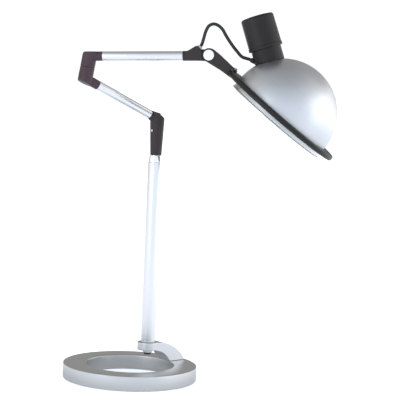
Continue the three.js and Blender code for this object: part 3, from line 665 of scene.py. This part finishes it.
# ---------------------------------------------------------------- base
def base():
    ring_corners = [
        (RING_INNER, RING_BOTTOM, 0.3), (PAD_INNER - GAP, RING_BOTTOM),
        (PAD_INNER - GAP, PAD_THICKNESS + GAP), (PAD_OUTER + GAP, PAD_THICKNESS + GAP),
        (PAD_OUTER + GAP, RING_BOTTOM), (RING_OUTER, RING_BOTTOM, 0.8),
        (RING_OUTER, RING_TOP, 0.6), (RING_INNER, RING_TOP, 1.2),
    ]
    ring = lathe(rounded(ring_corners, closed=True), FINEST_ROUND)
    bores = []
    for distance in BRACKET_SCREWS_AT:
        hole = ring_frame.inverted() @ bracket_frame @ shift(distance, 0, 0)
        bores.append(moved(rod(SCREW_SHANK_BORE, 6, 22, 32), hole))
        bores.append(moved(rod(SCREW_HEAD_BORE, 0, 7.3, 32), hole))
    piece("ring", cut(ring, *bores), ring_frame, ring_metal, "base", ["base_ring"])
    pad = sleeve(PAD_OUTER, PAD_INNER, 0, PAD_THICKNESS, 0.4, FINEST_ROUND)
    piece("pad", pad, ring_frame, pad_rubber, "base", ["base_pad"])


def arc(x, z, radius, start, end):
    """Points on a circle about (x, z), from one angle to another."""
    steps = 24
    angles = [start + (end - start) * i / steps for i in range(steps + 1)]
    return [(x + radius * math.cos(a), z + radius * math.sin(a)) for a in angles]


def bracket():
    """A round boss under the post, with a quarter arch down to its foot on the ring."""
    outer_x, outer_z, outer_radius = 8, -10, 60
    inner_x, inner_z, inner_radius = 1.5, 4.5, 34
    foot = RING_TOP + GAP
    outer_foot = math.asin((foot - outer_z) / outer_radius)
    inner_foot = math.asin((foot - inner_z) / inner_radius)
    side = [
        (0, BOSS_BOTTOM),
        *arc(inner_x, inner_z, inner_radius, math.pi / 2, inner_foot),
        *arc(outer_x, outer_z, outer_radius, outer_foot, math.pi / 2),
        (0, BOSS_TOP),
    ]
    rim = [(0, BOSS_BOTTOM), (BOSS_RADIUS, BOSS_BOTTOM, 0.8), (BOSS_RADIUS, BOSS_TOP, 0.8), (0, BOSS_TOP)]
    body = join(plate(side, BRACKET_HALF), lathe(rounded(rim)))
    holes = [
        moved(rod(SCREW_THREAD_BORE, foot - 1, foot + 6, 24), shift(distance, 0, 0))
        for distance in BRACKET_SCREWS_AT
    ]
    body = cut(body, rod(NIPPLE_BORE, 0, 80), rod(BOSS_RECESS, 20, BOSS_BOTTOM), *holes)
    body = moulded(body, rounds=4)
    piece("bracket", body, bracket_frame, bracket_metal, "base", ["base_bracket"])


def post():
    tube = sleeve(POST_RADIUS, POST_BORE, POST_BOTTOM, COLLAR_BOTTOM - GAP, 0.3, FINE_ROUND)
    piece("post", tube, post_frame, tube_metal, "base", ["post_tube"])
    inner = POST_BORE - GAP
    corners = [
        (PIN_BORE, COLLAR_FOOT), (inner, COLLAR_FOOT, 0.5), (inner, COLLAR_BOTTOM),
        (COLLAR_RADIUS, COLLAR_BOTTOM, 0.25), (COLLAR_TOP_RADIUS, COLLAR_TOP, 0.4),
        (PIN_BORE, COLLAR_TOP, 0.3),
    ]
    collar = lathe(rounded(corners, closed=True), FINE_ROUND)
    piece("collar", collar, post_frame, polished, "base", ["post_collar"])


# ---------------------------------------------------------------- arms
def post_connector():
    bottom = COLLAR_TOP + 0.4 - BEND_HEIGHT
    leg = lathe(rounded([(0, bottom), (8.1, bottom, 0.6), (10.4, 0), (10.4, 30), (0, 30)]))
    socket = join(
        lathe([(0, 0), (9, 0), (TUBE_RADIUS, LOWER_RIM_POST), (0, LOWER_RIM_POST)]),
        rod(TONGUE_RADIUS, 0, LOWER_RIM_POST + TONGUE_LENGTH),
    )
    rim_top = arm_in_bend @ Vector((-TUBE_RADIUS, 0, LOWER_RIM_POST))
    roof_size = 160
    roof_corners = [(-roof_size, 0), (roof_size, 0), (roof_size, roof_size), (-roof_size, roof_size)]
    roof = plate(roof_corners, roof_size)
    roof = moved(roof, shift(rim_top.x, 0, rim_top.z) @ turn("Y", -30))
    room = moved(rod(TUBE_RADIUS + GAP, LOWER_RIM_POST, 40), arm_in_bend)
    body = join(cut(leg, roof, room), moved(socket, arm_in_bend))
    screw = turn("Z", SET_SCREW_AZIMUTH - LOWER_AZIMUTH) @ shift(0, 0, SET_SCREW_HEIGHT - BEND_HEIGHT)
    body = cut(
        body, rod(BUSH_BORE, bottom - 1, -20), rod(PIN_BORE, -21, -8.4), rod(CABLE_BORE, -12, 0),
        moved(rod(CABLE_BORE, -1, THROUGH), arm_in_bend),
        moved(rod(SET_SCREW_BORE, 1, 18, 32), screw @ turn("Y", 90)),
    )
    body = moulded(body)
    piece("post_joint", body, bend_frame, black_moulding, "lower_arm", ["post_connector"])


def arm_tubes():
    lower = sleeve(TUBE_RADIUS, TUBE_BORE, LOWER_RIM_POST + GAP, LOWER_LENGTH - LOWER_RIM_ELBOW - GAP, 0.25)
    piece("lower_tube", lower, lower_arm_frame, tube_metal, "lower_arm", ["lower_arm_tube"])
    upper = sleeve(TUBE_RADIUS, TUBE_BORE, UPPER_RIM_ELBOW + GAP, UPPER_RIM_END - GAP, 0.25)
    piece("upper_tube", upper, upper_arm_frame, tube_metal, "upper_arm", ["upper_arm_tube"])


def elbow_half(column, lean_angle, arm, rim, corner_radius, side):
    """A round column whose end is cut along its arm, with a socket flush with the tube, and a tongue."""
    edge = arm @ Vector((-side * TUBE_RADIUS, 0, 0))
    run = arm.to_3x3() @ Vector((0, 0, 1))
    lean = math.tan(math.radians(lean_angle))
    back = -ELBOW_RADIUS / math.cos(math.radians(lean_angle))
    meeting = (back + lean * edge.z - edge.x) / (run.x - lean * run.z)
    corner = edge + run * meeting
    outline = [
        (corner.x, corner.z, corner_radius),
        (corner.x + run.x * THROUGH, corner.z + run.z * THROUGH),
        (corner.x + THROUGH, -side * THROUGH),
        (back - side * THROUGH * lean, -side * THROUGH),
    ]
    socket = join(rod(TUBE_RADIUS, 0, rim), rod(TONGUE_RADIUS, 0, rim + TONGUE_LENGTH))
    return join(common(column, plate(outline, THROUGH / 2)), moved(socket, arm))


def elbow():
    seam = ELBOW_HEIGHT / 2
    lean = turn("Y", ELBOW_LEAN)
    arm = turn("Y", 90 + LOWER_SLOPE)
    column = moved(rod(ELBOW_RADIUS, -30, seam - SEAM_HALF, ROUND), lean)
    lower = cut(
        elbow_half(column, ELBOW_LEAN, arm, LOWER_RIM_ELBOW, 3, -1),
        moved(rod(PIN_BORE, 1.5, THROUGH), lean), moved(rod(CABLE_BORE, -2, 3), lean),
        moved(rod(CABLE_BORE, 0, THROUGH), arm),
    )
    lower_place = elbow_frame @ turn("Z", 180)
    piece(
        "elbow_bottom", moulded(lower), lower_place, lit_elbow_moulding,
        "lower_arm", ["elbow_lower"],
    )

    column_in_upper = upper_frame.inverted() @ column_frame
    axis = column_in_upper.to_3x3() @ Vector((0, 0, 1))
    column = moved(rod(ELBOW_RADIUS, seam + SEAM_HALF, THROUGH, ROUND), column_in_upper)
    lean_angle = math.degrees(math.atan2(axis.x, axis.z))
    upper = cut(
        elbow_half(column, lean_angle, arm_in_upper, UPPER_RIM_ELBOW, 5, 1),
        moved(rod(BUSH_BORE, 0, 33), column_in_upper),
        moved(rod(CABLE_BORE, 0, THROUGH), arm_in_upper),
    )
    piece(
        "elbow_top", moulded(upper), upper_frame, lit_elbow_moulding,
        "upper_arm", ["elbow_upper"],
    )


def end_connector():
    upper_run = UPPER_LENGTH * math.cos(math.radians(UPPER_SLOPE))
    upper_rise = UPPER_LENGTH * math.sin(math.radians(UPPER_SLOPE))
    arm = shift(-upper_run, 0, -upper_rise - HINGE_RISE) @ arm_in_upper
    socket = join(
        rod(SOCKET_RADIUS, UPPER_RIM_END, UPPER_RIM_END + 16),
        rod(TONGUE_RADIUS, UPPER_RIM_END - TONGUE_LENGTH, UPPER_RIM_END + 1),
    )
    hump_half = 7.4
    hump_outline = [
        (-31, -8.6, 3), (-5, -8.2), (-5, 3), (-9.6, 3.4, 0.8), (-15.6, 12.4, 2), (-19, 11.6, 2.5),
        (-29.8, 4.6, 2), (-33, 4.4),
    ]
    knuckle_room = moved(rod(KNUCKLE + 0.5, -30, 30, ROUND), across_hinge)
    hump = cut(moulded(plate(hump_outline, hump_half), rounds=24), knuckle_room)
    tongue = join(
        plate([(-20, -7.6), (0, -7.6), (0, 7.6), (-13, 7.6), (-20, 3)], TONGUE_HALF),
        moved(rod(KNUCKLE - 0.9, -TONGUE_HALF, TONGUE_HALF), across_hinge),
    )
    body = cut(
        join(hump, tongue, moved(socket, arm)),
        moved(rod(CABLE_BORE, UPPER_RIM_END - 20, UPPER_RIM_END + 18), arm),
        moved(rod(GLAND_SEAT, -4, 10), gland_in_hinge),
        moved(rod(CABLE_BORE - 0.6, -12, 0), gland_in_hinge),
        moved(rod(TONGUE_BOLT_BORE, -20, 20), across_hinge),
    )
    piece(
        "arm_end", moulded(body, voxel=0.35, rounds=4), hinge_frame, black_moulding,
        "upper_arm", ["end_connector"],
    )
    wall = [
        (GLAND_BORE, GLAND_FOOT), (GLAND_RADIUS, GLAND_FOOT),
        (GLAND_RADIUS, GLAND_FACE, 0.4), (GLAND_BORE, GLAND_FACE, 0.2),
    ]
    gland = lathe(rounded(wall, closed=True), 48)
    gland_place = hinge_frame @ gland_in_hinge
    piece("gland", gland, gland_place, grey_plastic, "upper_arm", ["lead_gland"])


# ---------------------------------------------------------------- head
def link_screw_at(side):
    return shift(-LINK_SCREW_RADIUS_AT, side * LINK_SCREW_SIDE, 0)


def link():
    outline = [
        (6.2, 7.4), (13.6, 2.0, 3), (35.2, -16.6, 1.5), (38.0, -21.8),
        (32.6, -30.6, 2), (17.2, -20.2), (-5.2, -7.9),
    ]
    # The knuckle stands a little proud of the plate and the pad a little back, so no two faces coincide.
    step = 0.05
    knuckle = moved(rod(KNUCKLE, -LINK_HALF - step, LINK_HALF + step, ROUND), across_hinge)
    band_room = sleeve(BAND_OUTER + GAP, 60, -BAND_DEPTH - GAP, GAP, 0.01, FINEST_ROUND)
    pad = [
        (-BAND_OUTER - 3, GAP), (-BAND_OUTER + 8, GAP), (-BAND_OUTER + 6.8, 3.6, 1.2), (-BAND_OUTER - 3, 3.2),
    ]
    slot_half = TONGUE_HALF + SLOT_GAP
    slot = join(
        moved(rod(KNUCKLE + GAP, -slot_half, slot_half, ROUND), across_hinge),
        plate([(-20, -13), (-4, -13), (-4, 9.6), (-20, 9.6)], slot_half),
    )
    holes = [
        moved(rod(LINK_SCREW_BORE, -20, 20, 24), shade_in_hinge @ link_screw_at(side)) for side in (-1, 1)
    ]
    body = cut(
        join(plate(outline, LINK_HALF), knuckle, moved(plate(pad, LINK_HALF - step), shade_in_hinge)),
        moved(band_room, shade_in_hinge), slot,
        moved(rod(LINK_BOLT_BORE, -12, 12), across_hinge), *holes,
    )
    piece("link", moulded(body), hinge_frame, black_moulding, "head", ["head_link"])


def hinge_discs():
    face = LINK_HALF + DISC_GAP
    edge = face + DISC_THICKNESS - 0.1
    corners = [(0, face), (DISC_RADIUS, face, 0.2), (DISC_RADIUS, edge, 0.6), (0, face + DISC_THICKNESS)]
    for name, side in (("disc_front", 90), ("disc_back", -90)):
        place = hinge_frame @ turn("X", side)
        disc = lathe(rounded(corners))
        piece(name, disc, place, satin_white, "head", [f"hinge_{name}"])


def link_screws():
    for i, side in enumerate((-1, 1), 1):
        head = rounded([(0, -5), (1.1, -5, 0.2), (1.1, 3.9), (2.4, 3.9, 0.2), (2.4, 5.0, 0.5), (0, 5.5)])
        driver = lathe([(0, 4.6), (0.9, 4.6), (0.9, 6), (0, 6)], 6)
        place = shade_frame @ link_screw_at(side)
        screw = cut(lathe(head, 48), driver)
        piece(f"screw_{i}", screw, place, steel, "head", [f"link_screw_{i}"])


def shade():
    """The dome with its skirt and rolled bead, and the black band round it."""
    inner = SHADE_RADIUS - SHADE_WALL
    steps = 48
    quarter = [math.pi / 2 * i / steps for i in range(steps + 1)]
    outside = [(SHADE_RADIUS * math.cos(a), SHADE_RADIUS * math.sin(a)) for a in quarter[:-1]]
    inside = [(inner * math.cos(a), inner * math.sin(a)) for a in reversed(quarter[:-1])]
    bead_height = -SKIRT_DEPTH + BEAD
    bead_start, bead_sweep, bead_steps = -160, 230, 12
    bead_turns = [math.radians(bead_start + bead_sweep * i / bead_steps) for i in range(bead_steps + 1)]
    bead = [(SHADE_RADIUS + BEAD * math.cos(a), bead_height + BEAD * math.sin(a)) for a in bead_turns]
    profile = [
        (SHADE_RADIUS, bead_height + 2.2), *outside, (0, SHADE_RADIUS), (0, inner), *inside,
        (inner, -SKIRT_DEPTH + 0.6), *bead,
    ]
    # The profile starts at the skirt's outer side, so its two ends are joined through the bead.
    dome = lathe_shell(profile, 160)
    hole = moved(rod(NECK_RADIUS - 3, 20, 120, ROUND), shade_frame.inverted() @ socket_frame)
    piece("dome", cut(dome, hole), shade_frame, dome_metal, "head", ["shade_dome"])
    corners = [
        (SHADE_RADIUS + GAP, -BAND_DEPTH, 0.4), (BAND_OUTER, -BAND_DEPTH, 2.2), (BAND_OUTER, 0, 2.2),
        (SHADE_RADIUS + GAP, 0, 0.4),
    ]
    holes = [moved(rod(BAND_SCREW_BORE, -6, 5, 24), link_screw_at(side)) for side in (-1, 1)]
    band = cut(lathe(rounded(corners, closed=True, steps=8), FINEST_ROUND), *holes)
    piece("band", band, shade_frame, band_paint, "head", ["rim_band"])


def lathe_shell(profile, segments):
    """As lathe(), for a profile that touches the axis in the middle of a closed loop."""
    top = next(i for i, (radius, _) in enumerate(profile) if radius == 0)
    return lathe([*profile[top + 1:], *profile[:top + 1]], segments)


def dome_ball(radius):
    """A ball about the dome's centre, in the lampholder's frame."""
    return moved(ball(radius), shift(-SOCKET_OFFSET, 0, 0))


def holder_room():
    """The dome and the lampholder, each with its air gap, which the parts on the dome keep clear of."""
    return dome_ball(SHADE_RADIUS + GAP), rod(HOLDER_RADIUS + GAP, 40, NECK_TOP + 1, ROUND)


def lampholder_housing():
    lead_hole = moved(rod(INLET_HOLE, -7, 10, 48), inlet_in_socket)
    neck = cut(rod(NECK_RADIUS, 60, NECK_TOP, ROUND), *holder_room(), lead_hole)
    neck = moulded(neck, rounds=3)
    piece("neck", neck, socket_frame, shaded_cap_moulding, "head", ["socket_neck"])
    slot_inner = NECK_RADIUS + GAP
    corners = [
        (slot_inner, CAP_BOTTOM), (CAP_RADIUS + 0.6, CAP_BOTTOM, 0.5),
        (CAP_RADIUS + 0.6, CAP_BOTTOM + 3.8, 0.5), (CAP_RADIUS, CAP_BOTTOM + 4.3, 0.3),
        (CAP_RADIUS - 0.4, CAP_TOP - 1.3, 3.4), (CAP_RADIUS - 9, CAP_TOP - 0.2, 6),
        (0, CAP_TOP), (0, CAP_TOP - 2.5), (CAP_RADIUS - 3.4, CAP_TOP - 3.6, 3),
        (CAP_RADIUS - 2.6, CAP_TOP - 8), (slot_inner, NECK_TOP + 0.6),
    ]
    profile = rounded(corners, closed=True, steps=8)
    profile = [(0 if radius < 1e-6 else radius, height) for radius, height in profile]
    cap = lathe_shell(profile, FINE_ROUND)
    piece("cap", cap, socket_frame, shaded_cap_moulding, "head", ["socket_cap"])
    block = plate([(-3.8, -5), (3.8, -5), (3.2, INLET_REACH, 1), (-3.2, INLET_REACH, 1)], 4.2)
    block = cut(moved(block, inlet_in_socket), rod(NECK_RADIUS + GAP, 60, NECK_TOP))
    gland = cut(
        join(block, moved(rod(INLET_STEM, -7, 2, 48), inlet_in_socket)), *holder_room(),
        moved(rod(GLAND_BORE, -12, 12, 48), inlet_in_socket),
    )
    gland = moulded(gland, voxel=0.2, rounds=4)
    piece("inlet", gland, socket_frame, shaded_cap_moulding, "head", ["neck_gland"])


def lampholder_and_bulb():
    body = lathe(rounded([
        (0, HOLDER_TOP), (12, HOLDER_TOP, 1.5), (HOLDER_RADIUS, 104, 1), (HOLDER_RADIUS, HOLDER_MOUTH, 0.4),
        (HOLDER_BORE, HOLDER_MOUTH, 0.4), (HOLDER_BORE, 98), (0, 98),
    ]))
    piece("holder", body, socket_frame, white_plastic, "head", ["lampholder"])
    low, high = HOLDER_MOUTH + 0.5, HOLDER_MOUTH + 2.8
    nut = lathe(rounded([
        (HOLDER_RADIUS + 0.2, low, 0.2), (20.4, low, 0.3),
        (18.6, high, 0.2), (HOLDER_RADIUS + 0.2, high, 0.2),
    ], closed=True, steps=3))
    nut = common(nut, dome_ball(SHADE_RADIUS - SHADE_WALL - GAP))
    piece("holder_ring", nut, socket_frame, white_plastic, "head", ["holder_nut"])
    piece("screw_cap", bulb_screw(), socket_frame, steel, "head", ["bulb_cap"])
    sweep, steps = math.radians(GLOBE_SWEEP), 40
    angles = [-math.pi / 2 + sweep * i / steps for i in range(1, steps + 1)]
    globe = [(GLOBE_RADIUS * math.cos(a), GLOBE_CENTRE + GLOBE_RADIUS * math.sin(a)) for a in angles]
    profile = [
        (0, GLOBE_CENTRE - GLOBE_RADIUS), *globe, (12.6, BULB_TOP - 5), (12.2, BULB_TOP), (0, BULB_TOP),
    ]
    piece("bulb", lathe(profile), socket_frame, glass, "head", ["bulb_glass"])


def bulb_screw():
    """The bulb's screw cap, with rolled rings for its thread."""
    thread = []
    steps = 8
    for i in range(THREAD_TURNS * steps + 1):
        wave = math.cos(2 * math.pi * i / steps)
        radius = THREAD_RADIUS - THREAD_DEPTH * (1 - wave) / 2
        thread.append((radius, THREAD_BOTTOM + THREAD_PITCH * i / steps))
    return lathe([(0, 70), (12.4, 70), *thread, (12, 91), (8, 95), (4.8, 95.6), (4.8, 97.2), (0, 97.4)])


base()
bracket()
post()
post_connector()
arm_tubes()
elbow()
end_connector()
link()
hinge_discs()
link_screws()
shade()
lampholder_housing()
lampholder_and_bulb()


# ---------------------------------------------------------------- floor and light
FLOOR_WHITE, FLOOR_GLOW, FLOOR_PAINTED_SHADE = 1.0, 0.5, 0.04
# Colour of the studio's light from in front of the lamp to behind it, and from below it to above it.
STUDIO_DEEP = [
    (0, (1.0, 1.1, 1.22)), (0.35, (1.12, 1.17, 1.22)), (0.55, (1.12, 1.12, 1.12)),
    (0.8, (0.62, 0.61, 0.59)), (1, (0.4, 0.39, 0.375)),
]
STUDIO_UPWARD = [(0, (1, 1, 1)), (0.58, (1, 1, 1)), (0.8, (0.72, 0.72, 0.72)), (1, (0.36, 0.36, 0.36))]
KEY_POWER, SIDE_POWER, FILL_POWER = 8.5, 4, 5
LIT_POINT = Vector((0.03, 0, 0.3))
BACKDROP_STRENGTH = 1.05
# Painted shade on the floor: its glow is lowest near the ring's middle and full beyond the open floor's
# radius.
PAINTED_SHADE_RADIUS, OPEN_FLOOR_RADIUS = 0.06, 0.22


def floor():
    """A wide pale floor, white like the studio behind it. It takes real shadow from the lights, and its glow
    is turned down round the base as painted shade under the lamp.
    """
    work = bmesh.new()
    bmesh.ops.create_circle(work, cap_ends=True, radius=30, segments=128)
    mesh = bpy.data.meshes.new("floor")
    work.to_mesh(mesh)
    work.free()
    paint = Paint("floor", (0.9, 0.9, 0.9), 0, 0.8)
    paint.tones(paint.noise(paint.row(), scale=3, detail=2), 0.004)
    paint.shader.inputs["Specular IOR Level"].default_value = 0.1
    paint.shader.inputs["Emission Color"].default_value = (0.9, 0.98, 1.12, 1)
    rays = paint.node("ShaderNodeLightPath")
    away = paint.node("ShaderNodeVectorMath", operation="DISTANCE")
    paint.link(paint.row(), away.inputs[0])
    away.inputs[1].default_value = ring_middle
    # The glow is turned down near the ring's middle: painted shade on the floor round the base, which the
    # ring also reflects.
    reach = (PAINTED_SHADE_RADIUS, OPEN_FLOOR_RADIUS)
    near = paint.spread(away.outputs["Value"], *reach, FLOOR_PAINTED_SHADE, FLOOR_GLOW)
    glow = paint.math("MULTIPLY_ADD", rays.outputs["Is Camera Ray"], FLOOR_WHITE - FLOOR_GLOW, near)
    paint.link(glow, paint.shader.inputs["Emission Strength"])
    mesh.materials.append(paint.material)
    made = bpy.data.objects.new("floor", mesh)
    bpy.context.scene.collection.objects.link(made)


def softbox(name, place, width, height, power):
    """A rectangular light that faces the middle of the lamp."""
    lamp = bpy.data.lights.new(name, "AREA")
    lamp.shape = "RECTANGLE"
    lamp.size = width
    lamp.size_y = height
    lamp.energy = power
    made = bpy.data.objects.new(name, lamp)
    bpy.context.scene.collection.objects.link(made)
    made.location = place
    made.rotation_mode = "QUATERNION"
    made.rotation_quaternion = (LIT_POINT - Vector(place)).to_track_quat("-Z", "Y")


def studio():
    """A white backdrop, and round the lamp a studio that is bright in front and darker behind and above."""
    world = bpy.data.worlds.new("studio")
    bpy.context.scene.world = world
    world.use_nodes = True
    tree = world.node_tree
    background = next(n for n in tree.nodes if n.type == "BACKGROUND")
    output = next(n for n in tree.nodes if n.type == "OUTPUT_WORLD")
    parts = tree.nodes.new("ShaderNodeSeparateXYZ")
    tree.links.new(tree.nodes.new("ShaderNodeTexCoord").outputs["Generated"], parts.inputs[0])

    def curve(source, points):
        ramp = tree.nodes.new("ShaderNodeValToRGB")
        ramp.color_ramp.interpolation = "EASE"
        tree.links.new(source, ramp.inputs[0])
        while len(ramp.color_ramp.elements) < len(points):
            ramp.color_ramp.elements.new(0.5)
        for element, (position, color) in zip(ramp.color_ramp.elements, points):
            element.position = position
            element.color = (*color, 1)
        return ramp.outputs[0]

    def half(value):
        shifted = tree.nodes.new("ShaderNodeMath")
        shifted.operation = "MULTIPLY_ADD"
        tree.links.new(value, shifted.inputs[0])
        shifted.inputs[1].default_value = 0.5
        shifted.inputs[2].default_value = 0.5
        return shifted.outputs[0]

    deep = curve(half(parts.outputs["Y"]), STUDIO_DEEP)
    upward = curve(half(parts.outputs["Z"]), STUDIO_UPWARD)
    mixed = tree.nodes.new("ShaderNodeMix")
    mixed.data_type = "RGBA"
    mixed.blend_type = "MULTIPLY"
    mixed.inputs["Factor"].default_value = 1
    tree.links.new(deep, mixed.inputs[6])
    tree.links.new(upward, mixed.inputs[7])
    tree.links.new(mixed.outputs[2], background.inputs["Color"])
    backdrop = tree.nodes.new("ShaderNodeBackground")
    backdrop.inputs["Color"].default_value = (1, 1, 1, 1)
    backdrop.inputs["Strength"].default_value = BACKDROP_STRENGTH
    rays = tree.nodes.new("ShaderNodeLightPath")
    choice = tree.nodes.new("ShaderNodeMixShader")
    tree.links.new(rays.outputs["Is Camera Ray"], choice.inputs[0])
    tree.links.new(background.outputs[0], choice.inputs[1])
    tree.links.new(backdrop.outputs[0], choice.inputs[2])
    tree.links.new(choice.outputs[0], output.inputs["Surface"])
    softbox("key", (1.9, -0.2, 0.6), 2.0, 1.6, KEY_POWER)
    softbox("side", (1.5, 1.1, 0.4), 1.2, 1.4, SIDE_POWER)
    softbox("fill", (-1.5, -1.4, 0.8), 0.8, 1.0, FILL_POWER)
    bpy.context.scene.view_settings.view_transform = "Standard"


floor()
studio()
